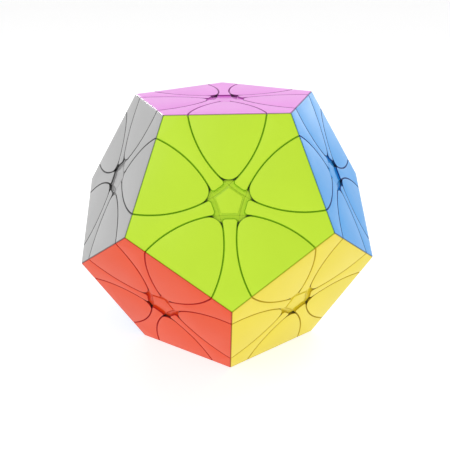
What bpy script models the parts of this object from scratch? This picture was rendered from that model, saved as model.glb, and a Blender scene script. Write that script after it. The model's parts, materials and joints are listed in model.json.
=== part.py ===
"""A corner-turning dodecahedron puzzle, as an assembly of separate pieces.

Twenty corner pieces turn about the twenty diagonals of a dodecahedron. Each turning layer is
one corner piece and the three edge pieces around it. Every cut between pieces is a surface of
revolution about a diagonal: a ball where it meets the flat faces, a narrow cone around the
pieces' necks, then a ledge and a wide cone around their feet. The feet are wider than the necks,
so the neighbouring corner pieces' flanges and the fixed centre posts hold them in. The corner
pieces are held by screws driven into the hollow core. The eight corners of one inscribed cube
have a screw each as a piece of their own; the other twelve screws are one with the core halves,
like the centre posts and their caps.

The puzzle stands on a face. Its origin is the point where all the diagonals meet. Shapes are
worked out in millimetres, and scaled to metres as each piece is placed.
"""

import math

import bmesh
import bpy
from mathutils import Matrix, Vector

METRES = 0.001                  # one millimetre

# Driving dimensions, in millimetres
INRADIUS = 37.5                 # from the centre to each flat face
BALL_CENTRE = 56.0              # centre of a layer's cutting ball, along its diagonal
BALL_RADIUS = 31.5
GAP = 0.3                       # running clearance between neighbouring pieces
LEDGE = 23.0                    # height of a layer's ledge, along its diagonal
FOOT_TOP = 23.6                 # flat top of an edge piece's foot, below the ledges
FOOT_BOTTOM = 21.4
NECK_BOTTOM = 21.0              # hidden end of a neck inside its foot, along the diagonal
CORE_RADIUS = 20.7
CORE_HOLLOW = 15.0
HOLE_END = 13.0                 # cutting depth of a screw's hole, inside the hollow
FAR = 60.0                      # beyond every piece

# Half-angles of a layer's neck cone and foot cone: its own pieces stay inside by half of the
# clearance, and the others stay outside by as much.
NECK_ANGLE = math.radians(26.6)
FOOT_ANGLE = math.radians(33.0)
CONE_CLEARANCE = math.radians(0.8)

# Screw, bore and spring chamber, along a corner piece's diagonal
SHANK_RADIUS = 1.2
SHANK_TIP = 16.0
HEAD_RADIUS = 2.4
HEAD_BOTTOM = 33.0
HEAD_TOP = 34.8
BORE_RADIUS = 1.75
CHAMBER_RADIUS = 3.2
CHAMBER_BOTTOM = 28.5
CHAMBER_TOP = 36.0

# Fixed centre post under the middle of each face: distances from its axis to its five flats
POST_ROOT = 18.0
POST_INRADIUS = 1.4
FLANGE_INRADIUS = 4.6
FLANGE_BOTTOM = 28.1
FLANGE_TOP = 32.5
CAP_INRADIUS = 3.2
CAP_TOP = INRADIUS - 0.8        # the centre caps are sunken

# Fineness of the curved surfaces
LAYER_STEPS = 24                # facets around a diagonal, a multiple of three
BALL_ARC_DEGREES = (60, 45, 27)
SPHERE_SEGMENTS = 24
CORE_SEGMENTS = 16
SCREW_STEPS = 6
POST_SIDES = 5
SEAM_DISTANCE = 0.0001          # joins a solid of revolution to itself
WELD_DISTANCE = 0.002           # removes slivers left by the cuts
SHARP_ANGLE = math.radians(25)

# Angles of a dodecahedron, from its face axis to the two rings of corners around it
NEAR_RING = math.acos(math.sqrt((5 + 2 * math.sqrt(5)) / 15))
FAR_RING = math.acos(math.sqrt((5 - 2 * math.sqrt(5)) / 15))
CIRCUMRADIUS = INRADIUS / math.cos(NEAR_RING)
NEIGHBOUR_DOT = math.sqrt(5) / 3        # two corners that share an edge
CUBE_DOT = 1 / 3                        # two corners that share an edge of an inscribed cube
SAME = 0.01                             # within which two angles or dot products are equal
RING_START = math.radians(-126)         # first corner of the two upper rings
FIFTH = math.radians(72)

# The twelve colours, for the top face, the five upper faces, the five lower faces and the
# bottom face; each ring starts at the front or front left and runs anticlockwise from above
FACE_COLOURS = {
    "pink": (0.93, 0.43, 0.89),
    "lime": (0.55, 0.79, 0.06),
    "sky_blue": (0.25, 0.55, 0.89),
    "orange": (0.90, 0.25, 0.02),
    "cream": (0.83, 0.71, 0.40),
    "grey": (0.52, 0.52, 0.53),
    "red": (0.84, 0.16, 0.08),
    "yellow": (0.87, 0.74, 0.15),
    "white": (0.85, 0.85, 0.85),
    "green": (0.01, 0.22, 0.05),
    "blue": (0.01, 0.06, 0.40),
    "purple": (0.17, 0.03, 0.35),
}
PLASTIC_ROUGHNESS = 0.35
CORE_COLOUR = (0.03, 0.03, 0.03)
STEEL_COLOUR = (0.62, 0.62, 0.60)
STEEL_ROUGHNESS = 0.3

# Two corners of the front face that belong to one inscribed cube
FIRST_TURNING = "corner_top_2"
SECOND_TURNING = "corner_upper_1"


def direction(polar, azimuth):
    """Unit vector at an angle from +Z and an azimuth from +X."""
    return Vector((
        math.sin(polar) * math.cos(azimuth),
        math.sin(polar) * math.sin(azimuth),
        math.cos(polar),
    ))


def corner_directions():
    """Name and direction of the twenty corners, in four rings of five."""
    corners = {}
    for ring, polar, half_turn in (
        ("top", NEAR_RING, 0.0),
        ("upper", FAR_RING, 0.0),
        ("lower", math.pi - FAR_RING, FIFTH / 2),
        ("bottom", math.pi - NEAR_RING, FIFTH / 2),
    ):
        for index in range(5):
            azimuth = RING_START + half_turn + index * FIFTH
            corners[f"corner_{ring}_{index + 1}"] = direction(polar, azimuth)
    return corners


def face_directions():
    """Colour name and outward direction of the twelve faces, top to bottom."""
    polar = math.acos(1 / math.sqrt(5))
    directions = [Vector((0, 0, 1))]
    for index in range(5):
        directions.append(direction(polar, math.radians(-90) + index * FIFTH))
    for index in range(5):
        directions.append(direction(math.pi - polar, RING_START + index * FIFTH))
    directions.append(Vector((0, 0, -1)))
    return dict(zip(FACE_COLOURS, directions))


def edge_pairs(corners):
    """Name and the two corner directions of the thirty edges, in rings like the corners."""
    names = list(corners)
    counts = {}
    pairs = {}
    for first_index, first in enumerate(names):
        for second in names[first_index + 1:]:
            if abs(corners[first].dot(corners[second]) - NEIGHBOUR_DOT) > SAME:
                continue
            ring_a = first.split("_")[1]
            ring_b = second.split("_")[1]
            ring = ring_a if ring_a == ring_b else {
                "top": "shoulder", "upper": "middle", "lower": "foot",
            }[ring_a]
            counts[ring] = counts.get(ring, 0) + 1
            pairs[f"edge_{ring}_{counts[ring]}"] = (corners[first], corners[second])
    return pairs


def turning_corners(corners):
    """The eight corners of one inscribed cube: no two of their layers share an edge piece."""
    chosen = [FIRST_TURNING, SECOND_TURNING]
    for name, corner in corners.items():
        dots = [abs(corner.dot(corners[other])) for other in chosen]
        of_cube = all(abs(dot - CUBE_DOT) < SAME or abs(dot - 1) < SAME for dot in dots)
        if of_cube and name not in chosen:
            chosen.append(name)
    return chosen


def frame_along(axis, side):
    """Rotation whose Z is axis and whose X leans towards side."""
    z_axis = axis.normalized()
    x_axis = (side - z_axis * side.dot(z_axis)).normalized()
    y_axis = z_axis.cross(x_axis)
    return Matrix((x_axis, y_axis, z_axis)).transposed().to_4x4()


def evaluated_mesh(obj):
    """Mesh of an object with its modifiers applied; the object is removed."""
    bpy.context.view_layer.update()
    graph = bpy.context.evaluated_depsgraph_get()
    mesh = bpy.data.meshes.new_from_object(obj.evaluated_get(graph))
    bpy.data.objects.remove(obj)
    return mesh


def mesh_of(shape):
    """Mesh of a bmesh, which is freed."""
    mesh = bpy.data.meshes.new("shape")
    shape.to_mesh(mesh)
    shape.free()
    return mesh


def scratch_object(mesh):
    obj = bpy.data.objects.new("scratch", mesh)
    bpy.context.scene.collection.objects.link(obj)
    return obj


def combine(mesh, cutter_mesh, operation, solver="EXACT"):
    """Boolean of two closed meshes."""
    body = scratch_object(mesh)
    cutter = scratch_object(cutter_mesh)
    boolean = body.modifiers.new("boolean", "BOOLEAN")
    boolean.operation = operation
    boolean.object = cutter
    boolean.solver = solver
    result = evaluated_mesh(body)
    bpy.data.objects.remove(cutter)
    return result


def turned(profile, steps):
    """Solid of revolution about Z; the profile of (radius, height) runs from top to bottom."""
    points = [(radius, 0.0, height) for radius, height in profile]
    lines = [(index, index + 1) for index in range(len(points) - 1)]
    outline = bpy.data.meshes.new("profile")
    outline.from_pydata(points, lines, [])
    obj = scratch_object(outline)
    screw = obj.modifiers.new("turn", "SCREW")
    screw.steps = steps
    screw.render_steps = steps
    screw.use_merge_vertices = True
    screw.merge_threshold = SEAM_DISTANCE
    return evaluated_mesh(obj)


def sphere(radius, segments=SPHERE_SEGMENTS):
    """Ball about the origin, with no facet edge in the pieces' planes of symmetry, X and Y."""
    shape = bmesh.new()
    rings = segments // 2 + 1
    bmesh.ops.create_uvsphere(shape, u_segments=segments, v_segments=rings, radius=radius)
    half_facet = Matrix.Rotation(math.pi / segments, 3, "Z")
    poles_to_x = Matrix.Rotation(math.pi / 2, 3, "Y")
    bmesh.ops.rotate(shape, verts=shape.verts, matrix=poles_to_x @ half_facet)
    return mesh_of(shape)


def dodecahedron(corners, rotation):
    """The puzzle's outer shape, rotated about its centre."""
    shape = bmesh.new()
    for corner in corners.values():
        shape.verts.new(rotation @ (corner * CIRCUMRADIUS))
    bmesh.ops.convex_hull(shape, input=shape.verts)
    bmesh.ops.dissolve_limit(
        shape, angle_limit=math.radians(1), verts=shape.verts, edges=shape.edges
    )
    bmesh.ops.recalc_face_normals(shape, faces=shape.faces)
    return mesh_of(shape)


def block(low, high):
    """Wide box between two heights."""
    shape = bmesh.new()
    bmesh.ops.create_cube(shape, size=1.0)
    bmesh.ops.scale(shape, verts=shape.verts, vec=(2 * FAR, 2 * FAR, high - low))
    bmesh.ops.translate(shape, verts=shape.verts, vec=(0, 0, (low + high) / 2))
    return mesh_of(shape)


def layer_outline(side):
    """Profile of one layer about Z down to its neck: its own pieces' if side is -1, or +1."""
    profile = []
    for degrees in BALL_ARC_DEGREES:
        angle = math.radians(degrees)
        radius = BALL_RADIUS + side * GAP / 2
        profile.append((radius * math.sin(angle), BALL_CENTRE - radius * math.cos(angle)))
    return [(0.0, FAR), (profile[0][0], FAR), *profile]


def neck_region(bottom):
    """Space of a layer's own upper pieces: a ball that runs into the neck cone."""
    slope = math.tan(NECK_ANGLE - CONE_CLEARANCE / 2)
    end = [(bottom * slope, bottom), (0.0, bottom)]
    return turned(layer_outline(-1) + end, LAYER_STEPS)


def foot_cone():
    """Space of a layer's own feet, out to a flat end beyond them."""
    radius = INRADIUS * math.tan(FOOT_ANGLE - CONE_CLEARANCE / 2)
    return turned([(0.0, INRADIUS), (radius, INRADIUS), (0.0, 0.0)], LAYER_STEPS)


def kept_clear():
    """Space that a layer sweeps, with its clearance, which all other pieces leave free."""
    neck_slope = math.tan(NECK_ANGLE + CONE_CLEARANCE / 2)
    foot_slope = math.tan(FOOT_ANGLE + CONE_CLEARANCE / 2)
    ledge = LEDGE + GAP / 2
    return turned(layer_outline(1) + [
        (ledge * neck_slope, ledge), (ledge * foot_slope, ledge), (0.0, 0.0),
    ], LAYER_STEPS)


def tilted(mesh, tilt, azimuth):
    """A mesh turned away from the Z axis, towards an azimuth."""
    mesh.transform(Matrix.Rotation(azimuth, 4, "Z") @ Matrix.Rotation(tilt, 4, "Y"))
    return mesh


def edge_mesh(corners, pairs):
    """Edge piece on the Z axis: what the layers of two corners share, on a flat-topped foot."""
    first, second = next(iter(pairs.values()))
    half_edge = first.angle(second) / 2
    upper = dodecahedron(corners, frame_along(first + second, first).inverted())
    foot = block(0.0, FOOT_TOP)
    for tilt in (half_edge, -half_edge):
        upper = combine(upper, tilted(neck_region(NECK_BOTTOM), tilt, 0.0), "INTERSECT")
        foot = combine(foot, tilted(foot_cone(), tilt, 0.0), "INTERSECT")
    foot = combine(foot, sphere(FOOT_BOTTOM), "DIFFERENCE")
    return combine(upper, foot, "UNION", solver="MANIFOLD")


def corner_mesh(corners, pairs):
    """Corner piece on the Z axis: its layer's neck without its three neighbours' layers."""
    first, second = next(iter(pairs.values()))
    outer = dodecahedron(corners, frame_along(first, second).inverted())
    piece = combine(outer, sphere(FOOT_BOTTOM), "DIFFERENCE")
    piece = combine(piece, neck_region(CORE_HOLLOW), "INTERSECT")
    for index in range(3):
        neighbour = tilted(kept_clear(), first.angle(second), math.radians(120 * index))
        piece = combine(piece, neighbour, "DIFFERENCE")
    bore = turned([
        (0.0, CHAMBER_TOP), (CHAMBER_RADIUS, CHAMBER_TOP), (CHAMBER_RADIUS, CHAMBER_BOTTOM),
        (BORE_RADIUS, CHAMBER_BOTTOM), (BORE_RADIUS, CORE_HOLLOW), (0.0, CORE_HOLLOW),
    ], SCREW_STEPS)
    return combine(piece, bore, "DIFFERENCE")


def screw_mesh():
    """Screw on the Z axis: a shank into the core's wall and a flat head in the chamber."""
    return turned([
        (0.0, HEAD_TOP), (HEAD_RADIUS, HEAD_TOP), (HEAD_RADIUS, HEAD_BOTTOM),
        (SHANK_RADIUS, HEAD_BOTTOM), (SHANK_RADIUS, SHANK_TIP), (0.0, SHANK_TIP),
    ], SCREW_STEPS)


def centre_post_mesh():
    """Five-sided post on the Z axis, with a flange over the feet and a tapered cap."""
    levels = [
        (0.0, CAP_TOP), (CAP_INRADIUS, CAP_TOP), (FLANGE_INRADIUS, FLANGE_TOP),
        (FLANGE_INRADIUS, FLANGE_BOTTOM), (POST_INRADIUS, FLANGE_BOTTOM),
        (POST_INRADIUS, POST_ROOT), (0.0, POST_ROOT),
    ]
    to_corner = 1 / math.cos(math.pi / POST_SIDES)
    return turned([(radius * to_corner, height) for radius, height in levels], POST_SIDES)


def core_hole_mesh():
    """Hole through the core's wall for a screw."""
    return turned([
        (0.0, FOOT_BOTTOM), (BORE_RADIUS, FOOT_BOTTOM),
        (BORE_RADIUS, HOLE_END), (0.0, HOLE_END),
    ], SCREW_STEPS)


def core_half(side, corners, faces, turning):
    """Half of the hollow core, with its centre posts and the screws of its fixed corners."""
    core = combine(
        sphere(CORE_RADIUS, CORE_SEGMENTS),
        sphere(CORE_HOLLOW, CORE_SEGMENTS),
        "DIFFERENCE",
    )
    own_side = block(GAP / 2, FAR) if side > 0 else block(-FAR, -GAP / 2)
    core = combine(core, own_side, "INTERSECT")

    for name, corner in corners.items():
        if corner.z * side < 0:
            continue
        shape = core_hole_mesh() if name in turning else screw_mesh()
        shape.transform(frame_along(corner, Vector((0, 0, 1))))
        core = combine(core, shape, "DIFFERENCE" if name in turning else "UNION")

    for face in faces.values():
        if face.z * side < 0:
            continue
        edge = max((a + b for a, b in edge_pairs(corners).values()), key=face.dot)
        post = centre_post_mesh()
        post.transform(frame_along(face, edge))
        core = combine(core, post, "UNION")
    return core


def material(name, colour, roughness, metallic):
    result = bpy.data.materials.new(name)
    result.use_nodes = True
    shader = result.node_tree.nodes["Principled BSDF"]
    shader.inputs["Base Color"].default_value = (*colour, 1.0)
    shader.inputs["Roughness"].default_value = roughness
    shader.inputs["Metallic"].default_value = metallic
    return result


def place(collection, name, mesh, matrix, finish):
    """Add a piece to the puzzle, with a material of its own."""
    if not mesh.materials:
        mesh.materials.append(None)
    obj = bpy.data.objects.new(name, mesh)
    obj.matrix_world = matrix
    collection.objects.link(obj)
    obj.material_slots[0].link = "OBJECT"
    obj.material_slots[0].material = material(name, *finish)


def finished(mesh):
    """Mesh in metres, its round surfaces shaded smooth and its real edges kept sharp."""
    shape = bmesh.new()
    shape.from_mesh(mesh)
    bmesh.ops.remove_doubles(shape, verts=shape.verts, dist=WELD_DISTANCE)
    bmesh.ops.dissolve_degenerate(shape, edges=shape.edges, dist=WELD_DISTANCE)
    shape.to_mesh(mesh)
    shape.free()
    mesh.transform(Matrix.Scale(METRES, 4))
    mesh.shade_smooth()
    mesh.set_sharp_from_angle(angle=SHARP_ANGLE)
    return mesh


def plastic_of(middle, faces):
    """Finish of the first face that a piece has a side on."""
    for colour, face in faces.items():
        if face.angle(middle) < NEAR_RING + SAME:
            return (FACE_COLOURS[colour], PLASTIC_ROUGHNESS, 0.0)
    raise ValueError("a piece lies on no face")


def build():
    for obj in list(bpy.data.objects):
        bpy.data.objects.remove(obj)
    puzzle = bpy.data.collections.new("dodecahedron_puzzle")
    bpy.context.scene.collection.children.link(puzzle)

    corners = corner_directions()
    faces = face_directions()
    pairs = edge_pairs(corners)
    turning = turning_corners(corners)

    core_finish = (CORE_COLOUR, PLASTIC_ROUGHNESS, 0.0)
    for name, side in (("core_upper", 1), ("core_lower", -1)):
        mesh = finished(core_half(side, corners, faces, turning))
        place(puzzle, name, mesh, Matrix.Identity(4), core_finish)

    screw = finished(screw_mesh())
    steel_finish = (STEEL_COLOUR, STEEL_ROUGHNESS, 1.0)
    for name in turning:
        matrix = frame_along(corners[name], Vector((0, 0, 1)))
        place(puzzle, name.replace("corner", "axle_screw"), screw, matrix, steel_finish)

    corner_shape = finished(corner_mesh(corners, pairs))
    for name, corner in corners.items():
        neighbour = next(
            other for other in corners.values() if abs(corner.dot(other) - NEIGHBOUR_DOT) < SAME
        )
        matrix = frame_along(corner, neighbour)
        place(puzzle, name, corner_shape, matrix, plastic_of(corner, faces))

    edge_shape = finished(edge_mesh(corners, pairs))
    for name, (first, second) in pairs.items():
        middle = first + second
        place(puzzle, name, edge_shape, frame_along(middle, first), plastic_of(middle, faces))


build()
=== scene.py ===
"""Looks of a corner-turning dodecahedron puzzle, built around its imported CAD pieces.

Each of the twelve faces is covered by five petals, five arms and a sunken centre cap, all in
the face's colour. A petal is a shell on an edge piece, and an arm is a shell on a corner piece.
Under the shells are the black bodies of the pieces, with the screws, springs and washers that
hold the corner pieces to the hollow core.

Shapes are worked out in millimetres about the puzzle's centre, with +Z outward along the
piece's own axis, and are scaled to metres as each piece is placed.
"""

import json
import math

import bmesh
import bpy
from mathutils import Matrix, Vector


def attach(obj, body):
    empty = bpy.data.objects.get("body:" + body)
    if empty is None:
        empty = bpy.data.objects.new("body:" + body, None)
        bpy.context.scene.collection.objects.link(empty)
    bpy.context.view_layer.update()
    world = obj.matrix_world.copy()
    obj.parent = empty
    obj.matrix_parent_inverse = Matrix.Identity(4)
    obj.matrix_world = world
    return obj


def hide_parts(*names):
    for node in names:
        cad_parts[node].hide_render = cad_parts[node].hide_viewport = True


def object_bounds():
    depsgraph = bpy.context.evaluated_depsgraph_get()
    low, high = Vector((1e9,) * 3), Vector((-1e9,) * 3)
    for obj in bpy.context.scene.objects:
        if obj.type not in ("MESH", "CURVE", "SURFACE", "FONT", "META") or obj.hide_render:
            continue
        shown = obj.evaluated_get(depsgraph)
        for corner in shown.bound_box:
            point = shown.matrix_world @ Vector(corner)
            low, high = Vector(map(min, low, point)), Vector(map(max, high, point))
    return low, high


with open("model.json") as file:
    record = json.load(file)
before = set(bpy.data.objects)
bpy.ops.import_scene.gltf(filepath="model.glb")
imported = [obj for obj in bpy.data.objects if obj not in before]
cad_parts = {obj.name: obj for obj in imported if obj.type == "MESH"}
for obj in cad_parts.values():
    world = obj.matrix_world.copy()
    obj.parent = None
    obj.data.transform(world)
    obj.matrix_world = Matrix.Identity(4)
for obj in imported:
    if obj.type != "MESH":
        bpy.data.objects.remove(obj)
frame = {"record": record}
cad_low, cad_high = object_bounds()

METRES = 0.001                  # one millimetre

# Driving dimensions of the CAD pieces, in millimetres
INRADIUS = cad_high.z / METRES  # from the centre to each flat face
BALL_CENTRE = 56.0              # centre of a layer's cutting ball, along its diagonal
BALL_RADIUS = 31.5
GAP = 0.3                       # running clearance between neighbouring pieces
LEDGE = 23.0                    # height of a layer's ledge, along its diagonal
FOOT_TOP = 23.6
FOOT_BOTTOM = 21.4
NECK_BOTTOM = 21.0
CORE_RADIUS = 20.7
CORE_HOLLOW = 15.0
FAR = 60.0                      # beyond every piece
NECK_ANGLE = math.radians(26.6)
FOOT_ANGLE = math.radians(33.0)
CONE_CLEARANCE = math.radians(0.8)
BORE_RADIUS = 1.75
CHAMBER_RADIUS = 3.2
CHAMBER_BOTTOM = 28.5
HEAD_BOTTOM = 33.0

# Angles of a dodecahedron, from its face axis to the two rings of corners around it
NEAR_RING = math.acos(math.sqrt((5 + 2 * math.sqrt(5)) / 15))
FAR_RING = math.acos(math.sqrt((5 - 2 * math.sqrt(5)) / 15))
NEIGHBOUR_DOT = math.sqrt(5) / 3        # two corners that share an edge
SAME_DOT = 0.01                 # within which two such products count as one
SAME_ANGLE = 0.01               # radians, within which two directions count as one
RING_START = math.radians(-126)
RING_BELOW = {"top": "shoulder", "upper": "middle", "lower": "foot"}    # edges under corners
FIFTH = math.radians(72)
THIRD = math.radians(120)
FOLD = math.acos(1 / math.sqrt(5)) / 2  # from a face's axis to the middle of its edge

# Shells, in a face's own frame: X runs from the middle of the face to one of its corners, and
# Z is the height above the puzzle's centre
SIDE_REACH = INRADIUS * math.tan(FOLD)              # middle of a face to its side
CORNER_REACH = SIDE_REACH / math.cos(FIFTH / 2)     # middle of a face to its corner
CIRCLE_REACH = BALL_CENTRE * math.sin(NEAR_RING)    # middle of a face to a ball's centre
CIRCLE_HEIGHT = BALL_CENTRE * math.cos(NEAR_RING)
SHELL_BOTTOM = 33.0
SHELL_GAP = 0.08                # seam between two shells
SHELL_FILLET = 0.25             # rounding of the rims
FILLET_STEPS = 6
WALL_STEPS = 4
MOAT_TOP = INRADIUS - 0.75      # sunken floor around the centre caps
MOAT_SLOPE = 0.02               # fall of the moat's floor across a step
MOAT_GAP = 0.05                 # seam between two shells below the moat
EDGE_ROUNDING = 0.45            # rounding of the dodecahedron's own edges
FOLD_SEAM = 0.06                # half the seam between the shells of two faces
ARC_STEPS = 40                  # points along a long side of a shell
SHORT_STEPS = 8
ROUND_STEPS = 8                 # points around a rounded corner
NEWTON_STEPS = 12
PETAL_TIP_ROUNDING = 3.6
ARM_END = 4.45                  # middle of a face to the end of an arm
ARM_END_ROUNDING = 0.9
MOAT_ROUNDING = 0.1             # corners of the pieces' steps, in the moat
SIDE_CORNER_ROUNDING = 0.3
POINT_ROUNDING = 0.4
ARM_SIDE_SHARE = 0.38           # share of half a face's side that belongs to an arm

# Centre caps: a flat pentagon on a star-shaped skirt
CAP_TOP = INRADIUS - 0.46
CAP_INRADIUS = 3.1
CAP_FILLET = 0.22
CAP_ROUNDING = 0.45
SKIRT_ROUNDING = 0.05

# Black bodies below the shells
BODY_GAP = 0.5                  # a little wider than the gap between shells
BODY_DROP = 0.03                # from a shell's bottom to the body under it
BODY_INRADIUS = SHELL_BOTTOM - BODY_DROP
BODY_STEPS = 72                 # facets around a diagonal, a multiple of three
BALL_ARC_DEGREES = (62, 56, 50, 44, 38, 32, 27)     # from the lowest point of a layer's ball
FLAT_ANGLE = math.radians(1)    # under which two facets count as one face
BODY_SPHERE_SEGMENTS = 48
CORE_SEGMENTS = 64
ROUND_SEGMENTS = 24
WELD_DISTANCE = 0.0001

# Colours of the faces, as linear light, in the order that face_directions gives them
FACE_COLOURS = {
    "pink": (0.98, 0.345, 0.94),
    "lime": (0.54, 0.79, 0.04),
    "sky_blue": (0.02, 0.33, 0.80),
    "orange": (0.90, 0.25, 0.02),
    "cream": (0.83, 0.71, 0.40),
    "grey": (0.44, 0.44, 0.44),
    "red": (0.77, 0.07, 0.01),
    "yellow": (0.83, 0.69, 0.04),
    "white": (0.74, 0.74, 0.74),
    "green": (0.01, 0.22, 0.05),
    "blue": (0.01, 0.06, 0.40),
    "purple": (0.17, 0.03, 0.35),
}
BODY_COLOUR = (0.02, 0.02, 0.021)
STEEL_COLOUR = (0.62, 0.61, 0.60)
SHELL_ROUGHNESS = 0.3
BODY_ROUGHNESS = 0.42
SHARP_ANGLE = math.radians(28)
SHEEN_LEVEL = 0.2
NOISE_RANGE = (0.3, 0.7)        # most values of a noise texture lie between these
SOFT_DETAIL = 2.0               # octaves of noise
GRAIN_DETAIL = 3.0
STEEL_DETAIL = 4.0
MOTTLE_SCALE = 70.0             # noise scales are in features per metre
MOTTLE_CHANGE = 0.015
GLOSS_SCALE = 600.0
GLOSS_CHANGE = 0.015
GRAIN_SCALE = 5000.0
GRAIN_HEIGHT = 0.000004
STEEL_CHANGE = 0.06
STEEL_ROUGHNESS = (0.22, 0.38)

# Colour of the shells' rims, which is painted shade: a darker colour along the real seams, a
# little darker in the moat, and near-black where the seams open into the moat. The first and the
# last table go by millimetres below the face
PAINTED_SHADE_BY_DEPTH = (                    # share of a shell's own colour that shows
    (0.0, 1.0), (0.003, 1.0), (0.008, 0.0), (0.33, 0.0), (0.45, 1.0), (0.5, 1.0), (0.62, 0.72),
)
# Near-black painted shade where the seams open into the moat
PAINTED_MOUTH_SHADE = (                 # darkness by share of the way from a face's middle to its corner
    (0.195, 0.0), (0.206, 0.85), (0.23, 0.85), (0.27, 0.0),
)
PAINTED_MOUTH_DEPTH = ((0.0, 0.0), (0.03, 0.0), (0.12, 1.0), (0.9, 1.0), (1.0, 0.0))
# Level of the painted rim shade, lighter on the lime, yellow and red faces
PAINTED_SEAM_LEVEL = 0.35                # share of the colour's square in a rim
PALE_PAINTED_SEAM_LEVEL = 0.75
LIGHTLY_SHADED_FACES = ("lime", "yellow", "red")
RIM_ROUGHNESS = 0.65
# The painted rim shade is fainter near the dodecahedron's own edges
FOLD_MARGIN = 0.3               # from the dodecahedron's own edges, where rim lines are fainter
FOLD_SHOW = 0.35

# Hardware, along a corner piece's diagonal, and the posts under the caps
SHANK_RADIUS = 1.2
HEAD_RADIUS = 2.4
HEAD_TOP = 34.8
HEAD_CHAMFER = (0.4, 0.3)       # across and along the screw
THREAD_TOP = 20.6
THREAD_PITCH = 0.5
THREAD_TURNS = 9
THREAD_DEPTH = 0.15
CREST_CLEARANCE = 0.02
TIP_CHAMFER = 0.3
RECESS_SIZE = (0.5, 2.6, 1.6)
SPRING_RADIUS = 2.3
SPRING_TURNS = 5
WIRE_RADIUS = 0.3
WIRE_RESOLUTION = 3             # Blender's bevel resolution, for the roundness of the wire
WASHER_RADIUS = 2.8
WASHER_THICKNESS = 0.4
POST_RADIUS = 1.4
FLANGE_RADIUS = 4.6
FLANGE_BOTTOM = 28.1
FLANGE_CHAMFER = 0.4

# Stage, in metres, and camera, in millimetres
FLOOR_RADIUS = 6.0
FLOOR_SEGMENTS = 96
WALL_HEIGHT = 2.2
FLOOR_COLOUR = (0.5, 0.5, 0.5)
FLOOR_MOTTLE_SCALE = 3.0
FLOOR_CHANGE = 0.005
FLOOR_ROUGHNESS = 0.8
FLOOR_GLOW = 0.7
WORLD_STRENGTH = 0.42
CAMERA_PLACE = (-5.08, -191.14, 72.72)
CAMERA_AIM = (0.0228, 0.9294, -0.3685)
CAMERA_TOP = (0.0213, 0.3680, 0.9296)
CAMERA_LENS = 51.5
CAMERA_SENSOR = 36.0
CAMERA_CLIP = (0.01, 20.0)      # metres
LIGHTS = (                      # name, position, size, power, and whether it fills the shadows
    ("key", (-0.4, -0.7, 1.0), 0.8, 5.4, True),
    ("right", (0.35, 0.25, 0.35), 0.3, 0.8, True),
    ("back_right", (0.42, 0.68, 0.1), 0.25, 0.25, True),
    ("rim", (-0.31, 0.76, 0.24), 0.2, 2.0, False),
)


def direction(polar, azimuth):
    """Unit vector at an angle from +Z and an azimuth from +X."""
    return Vector((
        math.sin(polar) * math.cos(azimuth),
        math.sin(polar) * math.sin(azimuth),
        math.cos(polar),
    ))


def corner_directions():
    """Name and direction of the twenty corners, in four rings of five."""
    corners = {}
    for ring, polar, half_turn in (
        ("top", NEAR_RING, 0.0),
        ("upper", FAR_RING, 0.0),
        ("lower", math.pi - FAR_RING, FIFTH / 2),
        ("bottom", math.pi - NEAR_RING, FIFTH / 2),
    ):
        for index in range(5):
            azimuth = RING_START + half_turn + index * FIFTH
            corners[f"corner_{ring}_{index + 1}"] = direction(polar, azimuth)
    return corners


def face_directions():
    """Colour name and outward direction of the twelve faces, top to bottom."""
    directions = [Vector((0, 0, 1))]
    for index in range(5):
        directions.append(direction(2 * FOLD, math.radians(-90) + index * FIFTH))
    for index in range(5):
        directions.append(direction(math.pi - 2 * FOLD, RING_START + index * FIFTH))
    directions.append(Vector((0, 0, -1)))
    return dict(zip(FACE_COLOURS, directions))


def are_neighbours(first, second):
    """Whether two corners' directions share an edge."""
    return abs(first.dot(second) - NEIGHBOUR_DOT) < SAME_DOT


def edge_pairs(corners):
    """Name and the two corner directions of the thirty edges, in rings like the corners."""
    names = list(corners)
    counts = {}
    pairs = {}
    for first_index, first in enumerate(names):
        for second in names[first_index + 1:]:
            if not are_neighbours(corners[first], corners[second]):
                continue
            ring_a = first.split("_")[1]
            ring_b = second.split("_")[1]
            ring = ring_a if ring_a == ring_b else RING_BELOW[ring_a]
            counts[ring] = counts.get(ring, 0) + 1
            pairs[f"edge_{ring}_{counts[ring]}"] = (corners[first], corners[second])
    return pairs


def frame_along(axis, side):
    """Rotation whose Z is axis and whose X leans towards side."""
    z_axis = axis.normalized()
    x_axis = (side - z_axis * side.dot(z_axis)).normalized()
    y_axis = z_axis.cross(x_axis)
    return Matrix((x_axis, y_axis, z_axis)).transposed().to_4x4()


# Outlines of the shells ---------------------------------------------------------------------

class Line:
    """Straight side of an outline. The piece lies on its inner side."""

    def __init__(self, azimuth, reach, steps=SHORT_STEPS):
        self.normal = Vector((math.cos(azimuth), math.sin(azimuth)))
        self.reach = reach
        self.steps = steps

    def beyond(self, point):
        """How far a point lies outside, and the outward direction there."""
        return self.normal.dot(point) - self.reach, self.normal

    def between(self, start, end):
        return [start.lerp(end, step / self.steps) for step in range(self.steps + 1)]


class Arc:
    """Round side of an outline. The piece lies inside the circle, or outside if side is -1."""

    def __init__(self, azimuth, radius, side=1, steps=ARC_STEPS):
        self.centre = Vector((math.cos(azimuth), math.sin(azimuth))) * CIRCLE_REACH
        self.radius = radius
        self.side = side
        self.steps = steps

    def beyond(self, point):
        """How far a point lies outside, and the outward direction there."""
        away = point - self.centre
        return self.side * (away.length - self.radius), self.side * away.normalized()

    def between(self, start, end):
        return swept(self.centre, start - self.centre, end - self.centre, self.steps)


def swept(centre, start, end, steps):
    """Points around a centre, from one arm to another, the shorter way."""
    turn = math.atan2(start.x * end.y - start.y * end.x, start.dot(end))
    points = []
    for step in range(steps + 1):
        share = step / steps
        arm = Matrix.Rotation(turn * share, 2) @ start
        length = start.length + (end.length - start.length) * share
        points.append(centre + arm.normalized() * length)
    return points


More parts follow.
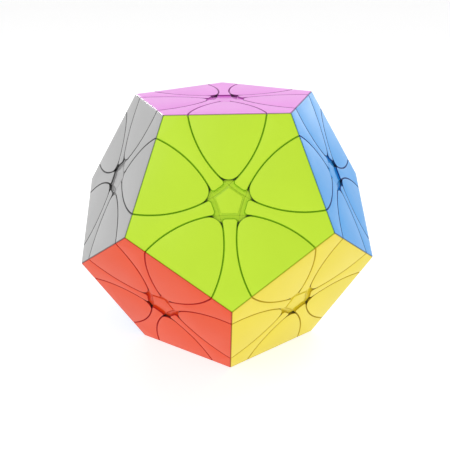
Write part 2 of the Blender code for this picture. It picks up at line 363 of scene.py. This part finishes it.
def meeting_point(first, second, inset, guess):
    """Point at one inset from two sides, found from a guess by Newton's method."""
    point = Vector(guess)
    for _ in range(NEWTON_STEPS):
        over_first, normal_first = first.beyond(point)
        over_second, normal_second = second.beyond(point)
        slopes = Matrix((normal_first, normal_second))
        point -= slopes.inverted() @ Vector((over_first + inset, over_second + inset))
    return point


def outline(sides, corners, inset, height):
    """Closed outline at an inset from its sides, anticlockwise, as points at one height.

    A corner is the rounding between a side and the next one, with a guess of its place.
    """
    count = len(sides)
    centres = []
    for index, (rounding, guess) in enumerate(corners):
        following = sides[(index + 1) % count]
        centres.append(meeting_point(sides[index], following, rounding, guess))
    points = []
    for index, side in enumerate(sides):
        before = centres[index - 1]
        after = centres[index]
        start = before + side.beyond(before)[1] * (corners[index - 1][0] - inset)
        arm = side.beyond(after)[1] * (corners[index][0] - inset)
        next_side = sides[(index + 1) % count]
        next_arm = next_side.beyond(after)[1] * (corners[index][0] - inset)
        points.extend(side.between(start, after + arm)[:-1])
        points.extend(swept(after, arm, next_arm, ROUND_STEPS)[:-1])
    return [(point.x, point.y, height) for point in points]


def circle_radius(height, clearance):
    """Radius of a layer's ball where it is cut at a height above the puzzle's centre."""
    return math.sqrt((BALL_RADIUS + clearance) ** 2 - (CIRCLE_HEIGHT - height) ** 2)


def side_reach(height):
    """Middle of a face to its rounded side, at a height; lower down it follows the seam."""
    drop = INRADIUS - height
    if drop < EDGE_ROUNDING * (1 - math.cos(FOLD)):
        flat_end = SIDE_REACH - EDGE_ROUNDING * math.tan(FOLD)
        return flat_end + math.sqrt(EDGE_ROUNDING ** 2 - (EDGE_ROUNDING - drop) ** 2) - FOLD_SEAM
    return height * math.tan(FOLD) - FOLD_SEAM


def fillet_levels(top, fillet):
    """Height and inset of each ring of a rounded rim, from the flat top down."""
    levels = []
    for step in range(FILLET_STEPS + 1):
        angle = math.pi / 2 * step / FILLET_STEPS
        levels.append((top - fillet * (1 - math.cos(angle)), fillet * (1 - math.sin(angle))))
    return levels


def wall_levels(top):
    """Heights of the rings of a wall, from its top down to the shells' bottom."""
    return [top + (SHELL_BOTTOM - top) * step / WALL_STEPS for step in range(WALL_STEPS + 1)]


def face_shell(ring_at):
    """A shell: its rounded rim, its wall down to the moat, and a wider wall below."""
    rim = fillet_levels(INRADIUS, SHELL_FILLET)
    rings = [ring_at(height, inset, False) for height, inset in rim]
    rings.append(ring_at(MOAT_TOP, 0.0, False))
    rings += [ring_at(height, 0.0, True) for height in wall_levels(MOAT_TOP - MOAT_SLOPE)]
    return stacked(rings)


def petal_ring(height, inset, below_moat):
    """Outline of a petal. X runs to the face's corner on the petal's clockwise side."""
    gap = MOAT_GAP if below_moat else SHELL_GAP
    radius = circle_radius(height, -gap / 2)
    sides = (
        Arc(FIFTH, radius),
        Line(FIFTH / 2, side_reach(height) + inset, ARC_STEPS // 2),
        Arc(0.0, radius),
    )
    middle = CIRCLE_REACH * math.cos(FIFTH / 2)
    off_middle = CIRCLE_REACH * math.sin(FIFTH / 2)
    tip = middle - math.sqrt(radius ** 2 - off_middle ** 2)
    half_width = math.sqrt(radius ** 2 - (middle - SIDE_REACH) ** 2) - off_middle
    to_middle = Matrix.Rotation(FIFTH / 2, 2)
    corners = (
        (SIDE_CORNER_ROUNDING, to_middle @ Vector((SIDE_REACH, -half_width))),
        (SIDE_CORNER_ROUNDING, to_middle @ Vector((SIDE_REACH, half_width))),
        (MOAT_ROUNDING if below_moat else PETAL_TIP_ROUNDING, to_middle @ Vector((tip, 0.0))),
    )
    return outline(sides, corners, inset, height)


def arm_ring(height, inset, below_moat):
    """Outline of an arm. X runs to the face's corner."""
    gap = MOAT_GAP if below_moat else SHELL_GAP
    radius = circle_radius(height, gap / 2)
    own_radius = circle_radius(height, -gap / 2)
    reach = side_reach(height) + inset
    if below_moat:
        end = Arc(0.0, own_radius, 1, SHORT_STEPS)
        end_reach = CIRCLE_REACH - own_radius
        end_rounding = MOAT_ROUNDING
    else:
        end = Line(math.pi, -ARM_END)
        end_reach = ARM_END
        end_rounding = ARM_END_ROUNDING
    sides = (
        Arc(-FIFTH, radius, -1),
        Line(-FIFTH / 2, reach),
        Line(FIFTH / 2, reach),
        Arc(FIFTH, radius, -1),
        end,
    )
    half_width = CIRCLE_REACH * math.sin(FIFTH) - radius
    side_share = SIDE_REACH * math.tan(FIFTH / 2) * ARM_SIDE_SHARE
    foot_x = CORNER_REACH - math.sin(FIFTH / 2) * side_share
    foot_y = math.cos(FIFTH / 2) * side_share
    corners = (
        (SIDE_CORNER_ROUNDING, (foot_x, -foot_y)),
        (POINT_ROUNDING, (CORNER_REACH, 0.0)),
        (SIDE_CORNER_ROUNDING, (foot_x, foot_y)),
        (end_rounding, (end_reach, half_width)),
        (end_rounding, (end_reach, -half_width)),
    )
    return outline(sides, corners, inset, height)


def cap_rings():
    """Outlines of a centre cap. X runs to a corner of the face, over the end of an arm."""
    point_reach = CAP_INRADIUS / math.cos(FIFTH / 2)
    guesses = []
    for index in range(5):
        azimuth = (index + 0.5) * FIFTH
        guesses.append((point_reach * math.cos(azimuth), point_reach * math.sin(azimuth)))
    rings = []
    for height, inset in fillet_levels(CAP_TOP, CAP_FILLET):
        sides = [Line(index * FIFTH, CAP_INRADIUS) for index in range(5)]
        corners = [(CAP_ROUNDING, guess) for guess in guesses]
        rings.append(outline(sides, corners, inset, height))
    skirt = [(MOAT_TOP, SKIRT_ROUNDING)]
    skirt += [(height, 0.0) for height in wall_levels(MOAT_TOP - SKIRT_ROUNDING)]
    for height, inset in skirt:
        radius = circle_radius(height, MOAT_GAP / 2)
        sides = [Arc(index * FIFTH, radius, -1, SHORT_STEPS) for index in range(5)]
        corners = [(MOAT_ROUNDING, guess) for guess in guesses]
        rings.append(outline(sides, corners, inset, height))
    return rings


def stacked(rings):
    """Closed solid through a stack of outlines, from the top one to the bottom one."""
    count = len(rings[0])
    points = [point for ring in rings for point in ring]
    faces = [tuple(range(count))]
    for level in range(len(rings) - 1):
        for index in range(count):
            here = level * count + index
            after = level * count + (index + 1) % count
            faces.append((here, here + count, after + count, after))
    faces.append(tuple(range(len(points) - 1, len(points) - 1 - count, -1)))
    mesh = bpy.data.meshes.new("shell")
    mesh.from_pydata(points, [], faces)
    smooth = [True] * len(faces)
    smooth[0] = False
    smooth[-1] = False
    mesh.polygons.foreach_set("use_smooth", smooth)
    mesh.set_sharp_from_angle(angle=SHARP_ANGLE)
    return mesh


# Black bodies -------------------------------------------------------------------------------

def evaluated_mesh(obj):
    """Mesh of an object with its modifiers applied; the object is removed."""
    bpy.context.view_layer.update()
    graph = bpy.context.evaluated_depsgraph_get()
    mesh = bpy.data.meshes.new_from_object(obj.evaluated_get(graph))
    bpy.data.objects.remove(obj)
    return mesh


def mesh_of(shape):
    """Mesh of a bmesh, which is freed."""
    mesh = bpy.data.meshes.new("shape")
    shape.to_mesh(mesh)
    shape.free()
    return mesh


def scratch_object(mesh):
    obj = bpy.data.objects.new("scratch", mesh)
    bpy.context.scene.collection.objects.link(obj)
    return obj


def combine(mesh, cutter_mesh, operation, solver="EXACT"):
    """Boolean of two closed meshes."""
    body = scratch_object(mesh)
    cutter = scratch_object(cutter_mesh)
    boolean = body.modifiers.new("boolean", "BOOLEAN")
    boolean.operation = operation
    boolean.object = cutter
    boolean.solver = solver
    result = evaluated_mesh(body)
    bpy.data.objects.remove(cutter)
    return result


def turned(profile, steps):
    """Solid of revolution about Z; the profile of (radius, height) runs from top to bottom."""
    points = [(radius, 0.0, height) for radius, height in profile]
    lines = [(index, index + 1) for index in range(len(points) - 1)]
    section = bpy.data.meshes.new("profile")
    section.from_pydata(points, lines, [])
    obj = scratch_object(section)
    screw = obj.modifiers.new("turn", "SCREW")
    screw.steps = steps
    screw.render_steps = steps
    screw.use_merge_vertices = True
    screw.merge_threshold = WELD_DISTANCE
    return evaluated_mesh(obj)


def sphere(radius, segments):
    """Ball about the origin, with no facet edge in the pieces' planes of symmetry, X and Y."""
    shape = bmesh.new()
    rings = segments // 2 + 1
    bmesh.ops.create_uvsphere(shape, u_segments=segments, v_segments=rings, radius=radius)
    half_facet = Matrix.Rotation(math.pi / segments, 3, "Z")
    poles_to_x = Matrix.Rotation(math.pi / 2, 3, "Y")
    bmesh.ops.rotate(shape, verts=shape.verts, matrix=poles_to_x @ half_facet)
    return mesh_of(shape)


def inner_dodecahedron(corners, rotation):
    """Shape of the black bodies' tops, just below the shells."""
    shape = bmesh.new()
    reach = BODY_INRADIUS / math.cos(NEAR_RING)
    for corner in corners.values():
        shape.verts.new(rotation @ (corner * reach))
    bmesh.ops.convex_hull(shape, input=shape.verts)
    bmesh.ops.dissolve_limit(
        shape, angle_limit=FLAT_ANGLE, verts=shape.verts, edges=shape.edges
    )
    bmesh.ops.recalc_face_normals(shape, faces=shape.faces)
    return mesh_of(shape)


def block(low, high):
    """Wide box between two heights."""
    shape = bmesh.new()
    bmesh.ops.create_cube(shape, size=1.0)
    bmesh.ops.scale(shape, verts=shape.verts, vec=(2 * FAR, 2 * FAR, high - low))
    bmesh.ops.translate(shape, verts=shape.verts, vec=(0, 0, (low + high) / 2))
    return mesh_of(shape)


def layer_outline(side):
    """Profile of a layer's ball about Z: within its own pieces' walls if side is -1, or around
    the walls of the pieces beside them if 1.
    """
    profile = []
    for degrees in BALL_ARC_DEGREES:
        angle = math.radians(degrees)
        radius = BALL_RADIUS + side * BODY_GAP / 2
        profile.append((radius * math.sin(angle), BALL_CENTRE - radius * math.cos(angle)))
    return [(0.0, FAR), (profile[0][0], FAR), *profile]


def neck_region(bottom):
    """Space of a layer's own upper pieces: a ball that runs into the neck cone."""
    slope = math.tan(NECK_ANGLE - CONE_CLEARANCE / 2)
    end = [(bottom * slope, bottom), (0.0, bottom)]
    return turned(layer_outline(-1) + end, BODY_STEPS)


def foot_cone():
    """Space of a layer's own feet, out to a flat end beyond them."""
    radius = INRADIUS * math.tan(FOOT_ANGLE - CONE_CLEARANCE / 2)
    return turned([(0.0, INRADIUS), (radius, INRADIUS), (0.0, 0.0)], BODY_STEPS)


def kept_clear():
    """Space that a layer sweeps, with its clearance, which all other pieces leave free."""
    neck_slope = math.tan(NECK_ANGLE + CONE_CLEARANCE / 2)
    foot_slope = math.tan(FOOT_ANGLE + CONE_CLEARANCE / 2)
    ledge = LEDGE + GAP / 2
    return turned(layer_outline(1) + [
        (ledge * neck_slope, ledge), (ledge * foot_slope, ledge), (0.0, 0.0),
    ], BODY_STEPS)


def tilted(mesh, tilt, azimuth):
    """A mesh turned away from the Z axis, towards an azimuth."""
    mesh.transform(Matrix.Rotation(azimuth, 4, "Z") @ Matrix.Rotation(tilt, 4, "Y"))
    return mesh


def edge_body(corners, pairs):
    """Black body of an edge piece on the Z axis: a neck on a wide foot."""
    first, second = next(iter(pairs.values()))
    half_edge = first.angle(second) / 2
    upper = inner_dodecahedron(corners, frame_along(first + second, first).inverted())
    foot = block(0.0, FOOT_TOP)
    for tilt in (half_edge, -half_edge):
        upper = combine(upper, tilted(neck_region(NECK_BOTTOM), tilt, 0.0), "INTERSECT")
        foot = combine(foot, tilted(foot_cone(), tilt, 0.0), "INTERSECT")
    foot = combine(foot, sphere(FOOT_BOTTOM, BODY_SPHERE_SEGMENTS), "DIFFERENCE")
    return combine(upper, foot, "UNION", solver="MANIFOLD")


def corner_body(corners, pairs):
    """Black body of a corner piece on the Z axis, with a bore for its screw and spring."""
    first, second = next(iter(pairs.values()))
    outer = inner_dodecahedron(corners, frame_along(first, second).inverted())
    piece = combine(outer, sphere(FOOT_BOTTOM, BODY_SPHERE_SEGMENTS), "DIFFERENCE")
    piece = combine(piece, neck_region(CORE_HOLLOW), "INTERSECT")
    for index in range(3):
        neighbour = tilted(kept_clear(), first.angle(second), THIRD * index)
        piece = combine(piece, neighbour, "DIFFERENCE")
    bore = turned([
        (0.0, FAR), (CHAMBER_RADIUS, FAR), (CHAMBER_RADIUS, CHAMBER_BOTTOM),
        (BORE_RADIUS, CHAMBER_BOTTOM), (BORE_RADIUS, CORE_HOLLOW), (0.0, CORE_HOLLOW),
    ], ROUND_SEGMENTS)
    return combine(piece, bore, "DIFFERENCE")


# Core, posts and hardware -------------------------------------------------------------------

def merged(meshes):
    """One mesh that holds several."""
    shape = bmesh.new()
    for mesh in meshes:
        shape.from_mesh(mesh)
    return mesh_of(shape)


def core_shell(side, corners):
    """Half of the hollow core on its own side of Z, with a hole for each screw."""
    core = combine(
        sphere(CORE_RADIUS, CORE_SEGMENTS), sphere(CORE_HOLLOW, CORE_SEGMENTS), "DIFFERENCE"
    )
    own_side = block(GAP / 2, FAR) if side > 0 else block(-FAR, -GAP / 2)
    core = combine(core, own_side, "INTERSECT")
    holes = []
    for corner in corners.values():
        if corner.z * side > 0:
            hole = turned([
                (0.0, FOOT_TOP), (SHANK_RADIUS, FOOT_TOP),
                (SHANK_RADIUS, CORE_HOLLOW / 2), (0.0, CORE_HOLLOW / 2),
            ], ROUND_SEGMENTS)
            hole.transform(frame_along(corner, Vector((0, 0, 1))))
            holes.append(hole)
    return combine(core, merged(holes), "DIFFERENCE")


def centre_post():
    """Fixed post under a centre cap, on the Z axis, with a flange over the edge pieces' feet."""
    return turned([
        (0.0, BODY_INRADIUS), (FLANGE_RADIUS - FLANGE_CHAMFER, BODY_INRADIUS),
        (FLANGE_RADIUS, BODY_INRADIUS - FLANGE_CHAMFER), (FLANGE_RADIUS, FLANGE_BOTTOM),
        (POST_RADIUS, FLANGE_BOTTOM), (POST_RADIUS, CORE_RADIUS), (0.0, CORE_RADIUS),
    ], ROUND_SEGMENTS)


def screw():
    """Screw on the Z axis: a flat head with a cross recess, and a thread in the core's wall."""
    across, along = HEAD_CHAMFER
    root = SHANK_RADIUS - THREAD_DEPTH
    profile = [
        (0.0, HEAD_TOP), (HEAD_RADIUS - across, HEAD_TOP), (HEAD_RADIUS, HEAD_TOP - along),
        (HEAD_RADIUS, HEAD_BOTTOM), (root, HEAD_BOTTOM),
    ]
    for turn in range(THREAD_TURNS):
        crest = THREAD_TOP - turn * THREAD_PITCH
        profile.append((root, crest + THREAD_PITCH / 4))
        profile.append((SHANK_RADIUS - CREST_CLEARANCE, crest))
    end = THREAD_TOP - THREAD_TURNS * THREAD_PITCH
    profile += [(SHANK_RADIUS - TIP_CHAMFER, end), (0.0, end - TIP_CHAMFER)]
    body = turned(profile, ROUND_SEGMENTS)
    for quarter in range(2):
        slot = bmesh.new()
        bmesh.ops.create_cube(slot, size=1.0)
        bmesh.ops.scale(slot, verts=slot.verts, vec=RECESS_SIZE)
        bmesh.ops.translate(slot, verts=slot.verts, vec=(0, 0, HEAD_TOP))
        cutter = mesh_of(slot)
        cutter.transform(Matrix.Rotation(math.radians(90 * quarter), 4, "Z"))
        body = combine(body, cutter, "DIFFERENCE")
    return body


def spring():
    """Compression spring on the Z axis, between the chamber's floor and the washer."""
    low = CHAMBER_BOTTOM + WIRE_RADIUS
    high = HEAD_BOTTOM - WASHER_THICKNESS - WIRE_RADIUS
    steps = SPRING_TURNS * ROUND_SEGMENTS
    curve = bpy.data.curves.new("spring", "CURVE")
    curve.dimensions = "3D"
    curve.bevel_depth = WIRE_RADIUS
    curve.bevel_resolution = WIRE_RESOLUTION
    curve.use_fill_caps = True
    spline = curve.splines.new("POLY")
    spline.points.add(steps)
    for step, point in enumerate(spline.points):
        angle = 2 * math.pi * step / ROUND_SEGMENTS
        height = low + (high - low) * step / steps
        point.co = (SPRING_RADIUS * math.cos(angle), SPRING_RADIUS * math.sin(angle), height, 1)
    obj = bpy.data.objects.new("scratch", curve)
    bpy.context.scene.collection.objects.link(obj)
    mesh = evaluated_mesh(obj)
    shape = bmesh.new()
    shape.from_mesh(mesh)
    bmesh.ops.remove_doubles(shape, verts=shape.verts, dist=WELD_DISTANCE)
    return mesh_of(shape)


def washer():
    """Washer on the Z axis, under the screw's head."""
    low = HEAD_BOTTOM - WASHER_THICKNESS
    disc = turned([
        (0.0, HEAD_BOTTOM), (WASHER_RADIUS, HEAD_BOTTOM), (WASHER_RADIUS, low), (0.0, low),
    ], ROUND_SEGMENTS)
    hole = turned([
        (0.0, FAR), (SHANK_RADIUS, FAR), (SHANK_RADIUS, CORE_HOLLOW), (0.0, CORE_HOLLOW),
    ], ROUND_SEGMENTS)
    return combine(disc, hole, "DIFFERENCE")


# Materials ----------------------------------------------------------------------------------

def noise(tree, scale, detail):
    """Noise in the piece's own coordinates, with features about 1/scale metres across."""
    place = tree.nodes.new("ShaderNodeTexCoord")
    texture = tree.nodes.new("ShaderNodeTexNoise")
    texture.inputs["Scale"].default_value = scale
    texture.inputs["Detail"].default_value = detail
    tree.links.new(place.outputs["Object"], texture.inputs["Vector"])
    return texture.outputs["Fac"]


def spread(tree, value, low, high):
    """A noise value spread over a range."""
    remap = tree.nodes.new("ShaderNodeMapRange")
    remap.inputs["From Min"].default_value = NOISE_RANGE[0]
    remap.inputs["From Max"].default_value = NOISE_RANGE[1]
    remap.inputs["To Min"].default_value = low
    remap.inputs["To Max"].default_value = high
    tree.links.new(value, remap.inputs["Value"])
    return remap.outputs["Result"]


def tinted(tree, value, colour, change):
    """A colour that varies by a small share with a noise value."""
    ramp = tree.nodes.new("ShaderNodeValToRGB")
    for element, position, sign in zip(ramp.color_ramp.elements, NOISE_RANGE, (-1, 1)):
        element.position = position
        element.color = (*(channel * (1 + sign * change) for channel in colour), 1.0)
    tree.links.new(value, ramp.inputs["Fac"])
    return ramp.outputs["Color"]


def new_material(name):
    material = bpy.data.materials.new(name)
    material.use_nodes = True
    tree = material.node_tree
    return material, tree, tree.nodes["Principled BSDF"]


def grain(tree, shader, scale, height):
    """Fine relief, like the spark-eroded skin of a mould."""
    bump = tree.nodes.new("ShaderNodeBump")
    bump.inputs["Strength"].default_value = 1.0
    bump.inputs["Distance"].default_value = height
    tree.links.new(noise(tree, scale, GRAIN_DETAIL), bump.inputs["Height"])
    tree.links.new(bump.outputs["Normal"], shader.inputs["Normal"])


def maths(tree, operation, first, second=0.0):
    """Result of a sum on two values, each a socket or a number."""
    node = tree.nodes.new("ShaderNodeMath")
    node.operation = operation
    for socket, value in zip(node.inputs, (first, second)):
        if isinstance(value, float):
            socket.default_value = value
        else:
            tree.links.new(value, socket)
    return node.outputs["Value"]


def ramped(tree, value, stops):
    """A value looked up in a table of position and level."""
    ramp = tree.nodes.new("ShaderNodeValToRGB")
    elements = ramp.color_ramp.elements
    for _ in range(len(stops) - len(elements)):
        elements.new(1.0)
    for element, (position, level) in zip(elements, stops):
        element.position = position
        element.color = (level, level, level, 1.0)
    tree.links.new(value, ramp.inputs["Fac"])
    return ramp.outputs["Color"]


def own_axes(tree):
    """X, Y and Z sockets of a shell's own coordinates, in metres."""
    place = tree.nodes.new("ShaderNodeTexCoord")
    axes = tree.nodes.new("ShaderNodeSeparateXYZ")
    tree.links.new(place.outputs["Object"], axes.inputs["Vector"])
    return axes.outputs["X"], axes.outputs["Y"], axes.outputs["Z"]


def depth_below_face(tree, z_socket):
    """Depth below the face, in millimetres."""
    return maths(tree, "DIVIDE", maths(tree, "SUBTRACT", INRADIUS * METRES, z_socket), METRES)


def painted_seam_shade(tree):
    """Painted shade over the real seams: how much of a shell's own colour shows. None in a line
    of painted shade along its rims, but some of it at the dodecahedron's own edges, and a little
    less than all of it in the moat and below.
    """
    x_socket, y_socket, z_socket = own_axes(tree)
    line = ramped(tree, depth_below_face(tree, z_socket), PAINTED_SHADE_BY_DEPTH)
    across = maths(tree, "MULTIPLY", maths(tree, "ABSOLUTE", y_socket), math.sin(FIFTH / 2))
    along = maths(tree, "MULTIPLY", x_socket, math.cos(FIFTH / 2))
    fold = maths(tree, "MULTIPLY", z_socket, math.tan(FOLD))
    to_fold = maths(tree, "SUBTRACT", fold, maths(tree, "ADD", along, across))
    near_fold = maths(tree, "LESS_THAN", to_fold, FOLD_MARGIN * METRES)
    fold_show = maths(tree, "MULTIPLY", near_fold, FOLD_SHOW)
    return maths(tree, "MAXIMUM", line, fold_show)


def painted_mouth_shade(tree):
    """Painted shade: how dark the sides of the seams are painted where they open into the moat.
    """
    x_socket, y_socket, z_socket = own_axes(tree)
    squares = maths(tree, "ADD", maths(tree, "MULTIPLY", x_socket, x_socket),
                    maths(tree, "MULTIPLY", y_socket, y_socket))
    reach = maths(tree, "DIVIDE", maths(tree, "SQRT", squares), CORNER_REACH * METRES)
    near_mouth = ramped(tree, reach, PAINTED_MOUTH_SHADE)
    between_rims = ramped(tree, depth_below_face(tree, z_socket), PAINTED_MOUTH_DEPTH)
    return maths(tree, "MULTIPLY", near_mouth, between_rims)


def mixed(tree, first, second, share):
    """A share of the second colour in the first, each a socket or a colour."""
    mix = tree.nodes.new("ShaderNodeMix")
    mix.data_type = "RGBA"
    sockets = {socket.identifier: socket for socket in mix.inputs}
    tree.links.new(share, sockets["Factor_Float"])
    for side, colour in (("A_Color", first), ("B_Color", second)):
        if isinstance(colour, tuple):
            sockets[side].default_value = (*colour, 1.0)
        else:
            tree.links.new(colour, sockets[side])
    return next(socket for socket in mix.outputs if socket.identifier == "Result_Color")


def plastic(name, colour, roughness, seam_shade_level=None):
    """Satin moulded plastic, coloured through. For shells, the last argument is the level of
    painted shade: it gives them darker rims of painted shade, near-black painted shade where the
    seams open into the moat, and duller rims.
    """
    material, tree, shader = new_material(name)
    base = tinted(tree, noise(tree, MOTTLE_SCALE, SOFT_DETAIL), colour, MOTTLE_CHANGE)
    dullness = spread(tree, noise(tree, GLOSS_SCALE, SOFT_DETAIL),
                      roughness - GLOSS_CHANGE, roughness + GLOSS_CHANGE)
    if seam_shade_level is not None:
        # Painted shade: a darker colour along the rims, fainter at the dodecahedron's own edges,
        # and slightly darker in the moat
        shown = painted_seam_shade(tree)
        base = mixed(tree, tuple(seam_shade_level * channel ** 2 for channel in colour), base, shown)
        # Painted shade: near-black, in the black bodies' colour, where the seams open into the
        # moat
        base = mixed(tree, base, BODY_COLOUR, painted_mouth_shade(tree))
        dull_rim = maths(tree, "SUBTRACT", RIM_ROUGHNESS, shown)
        dullness = maths(tree, "MAXIMUM", dullness, dull_rim)
    tree.links.new(base, shader.inputs["Base Color"])
    tree.links.new(dullness, shader.inputs["Roughness"])
    shader.inputs["Specular IOR Level"].default_value = SHEEN_LEVEL
    grain(tree, shader, GRAIN_SCALE, GRAIN_HEIGHT)
    return material


def steel():
    """Plated steel, slightly uneven in colour and gloss."""
    material, tree, shader = new_material("steel")
    uneven = noise(tree, GLOSS_SCALE, STEEL_DETAIL)
    base = tinted(tree, uneven, STEEL_COLOUR, STEEL_CHANGE)
    dullness = spread(tree, noise(tree, GRAIN_SCALE, STEEL_DETAIL), *STEEL_ROUGHNESS)
    tree.links.new(base, shader.inputs["Base Color"])
    tree.links.new(dullness, shader.inputs["Roughness"])
    shader.inputs["Metallic"].default_value = 1.0
    return material


# Assembly -----------------------------------------------------------------------------------

def finished(mesh, sharp_angle=None):
    """Mesh in metres, with one slot for its object's own material."""
    if sharp_angle is not None:
        mesh.shade_smooth()
        mesh.set_sharp_from_angle(angle=sharp_angle)
    mesh.transform(Matrix.Scale(METRES, 4))
    mesh.materials.clear()
    mesh.materials.append(None)
    return mesh


def place(name, mesh, matrix, material, body, slot, *nodes):
    """Add a piece that rides on a body, and stands for CAD nodes if it does."""
    obj = bpy.data.objects.new(name, mesh)
    bpy.context.scene.collection.objects.link(obj)
    obj.matrix_world = matrix
    obj.material_slots[0].link = "OBJECT"
    obj.material_slots[0].material = material
    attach(obj, body)
    if nodes:
        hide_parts(*nodes)


def build_puzzle():
    corners = corner_directions()
    faces = face_directions()
    pairs = edge_pairs(corners)
    body_of = {
        node: body
        for body, nodes in frame["record"]["behaviour"]["bodies"].items()
        for node in nodes
    }
    shell_finish = {}
    for colour, value in FACE_COLOURS.items():
        # How dark this face's painted rim shade is
        seam_shade_level = PALE_PAINTED_SEAM_LEVEL if colour in LIGHTLY_SHADED_FACES else PAINTED_SEAM_LEVEL
        shell_finish[colour] = plastic(f"plastic_{colour}", value, SHELL_ROUGHNESS, seam_shade_level)
    black = plastic("plastic_black", BODY_COLOUR, BODY_ROUGHNESS)
    metal = steel()
    up = Vector((0, 0, 1))

    petal = finished(face_shell(petal_ring))
    edge_mesh = finished(edge_body(corners, pairs), SHARP_ANGLE)
    for name, (first, second) in pairs.items():
        middle = (first + second).normalized()
        body = body_of[name]
        place(f"{name}_body", edge_mesh, frame_along(middle, first), black, body,
              "plastic_black", name)
        for colour, face in faces.items():
            if face.angle(middle) < FOLD + SAME_ANGLE:
                clockwise = first if face.dot(first.cross(second)) > 0 else second
                place(f"{name}_petal_{colour}", petal, frame_along(face, clockwise),
                      shell_finish[colour], body, f"plastic_{colour}", name)

    arm = finished(face_shell(arm_ring))
    corner_mesh = finished(corner_body(corners, pairs), SHARP_ANGLE)
    screw_mesh = finished(screw(), SHARP_ANGLE)
    spring_mesh = finished(spring(), SHARP_ANGLE)
    washer_mesh = finished(washer(), SHARP_ANGLE)
    for name, corner in corners.items():
        neighbour = next(other for other in corners.values() if are_neighbours(corner, other))
        body = body_of[name]
        place(f"{name}_body", corner_mesh, frame_along(corner, neighbour), black, body,
              "plastic_black", name)
        for colour, face in faces.items():
            if face.angle(corner) < NEAR_RING + SAME_ANGLE:
                place(f"{name}_arm_{colour}", arm, frame_along(face, corner),
                      shell_finish[colour], body, f"plastic_{colour}", name)
        along = frame_along(corner, up)
        axle = name.replace("corner", "axle_screw")
        stood_for = [axle] if axle in body_of else []
        place(name.replace("corner", "screw"), screw_mesh, along, metal, "root", "steel",
              *stood_for)
        place(name.replace("corner", "spring"), spring_mesh, along, metal, "root", "steel")
        place(name.replace("corner", "washer"), washer_mesh, along, metal, "root", "steel")

    cap = finished(stacked(cap_rings()))
    post = finished(centre_post(), SHARP_ANGLE)
    for colour, face in faces.items():
        corner = max(corners.values(), key=lambda other: face.dot(other))
        place(f"centre_cap_{colour}", cap, frame_along(face, corner), shell_finish[colour],
              "root", f"plastic_{colour}")
        place(f"centre_post_{colour}", post, frame_along(face, corner), black, "root",
              "plastic_black")
    for node, side in (("core_upper", 1), ("core_lower", -1)):
        shell = finished(core_shell(side, corners), SHARP_ANGLE)
        place(f"{node}_shell", shell, Matrix.Identity(4), black, "root", "plastic_black", node)


# Stage, camera and light --------------------------------------------------------------------

def add_floor():
    """Plain pale floor in a round wall, which is the backdrop of low views."""
    bowl = turned([(FLOOR_RADIUS, WALL_HEIGHT), (FLOOR_RADIUS, 0.0), (0.0, 0.0)], FLOOR_SEGMENTS)
    floor = bpy.data.objects.new("floor", bowl)
    floor.location = (0, 0, cad_low.z)
    bpy.context.scene.collection.objects.link(floor)
    material, tree, shader = new_material("floor")
    uneven = noise(tree, FLOOR_MOTTLE_SCALE, SOFT_DETAIL)
    base = tinted(tree, uneven, FLOOR_COLOUR, FLOOR_CHANGE)
    tree.links.new(base, shader.inputs["Base Color"])
    shader.inputs["Roughness"].default_value = FLOOR_ROUGHNESS
    shader.inputs["Emission Color"].default_value = (1.0, 1.0, 1.0, 1.0)
    shader.inputs["Emission Strength"].default_value = FLOOR_GLOW
    floor.data.materials.append(material)


def add_area_light(name, position, size, power, fills):
    """Soft square light that faces the puzzle. If it doesn't fill, only its reflection shows."""
    light = bpy.data.lights.new(name, "AREA")
    light.shape = "SQUARE"
    light.size = size
    light.energy = power
    obj = bpy.data.objects.new(name, light)
    obj.location = position
    obj.rotation_euler = (-Vector(position)).to_track_quat("-Z", "Y").to_euler()
    obj.visible_diffuse = fills
    bpy.context.scene.collection.objects.link(obj)


def add_world():
    """White surroundings, as in a light tent."""
    world = bpy.data.worlds.new("surroundings")
    world.use_nodes = True
    background = world.node_tree.nodes["Background"]
    background.inputs["Color"].default_value = (1.0, 1.0, 1.0, 1.0)
    background.inputs["Strength"].default_value = WORLD_STRENGTH
    bpy.context.scene.world = world


def add_camera():
    """Camera at the eye's place, a little above the puzzle and in front of it."""
    camera = bpy.data.cameras.new("camera")
    camera.lens = CAMERA_LENS
    camera.sensor_width = CAMERA_SENSOR
    camera.clip_start, camera.clip_end = CAMERA_CLIP
    obj = bpy.data.objects.new("camera", camera)
    back = -Vector(CAMERA_AIM).normalized()
    right = Vector(CAMERA_TOP).cross(back).normalized()
    turn = Matrix((right, back.cross(right), back)).transposed().to_4x4()
    obj.matrix_world = Matrix.Translation(Vector(CAMERA_PLACE) * METRES) @ turn
    bpy.context.scene.collection.objects.link(obj)
    bpy.context.scene.camera = obj


build_puzzle()
add_floor()
add_world()
add_camera()
for light in LIGHTS:
    add_area_light(*light)
bpy.context.scene.view_settings.view_transform = "Standard"
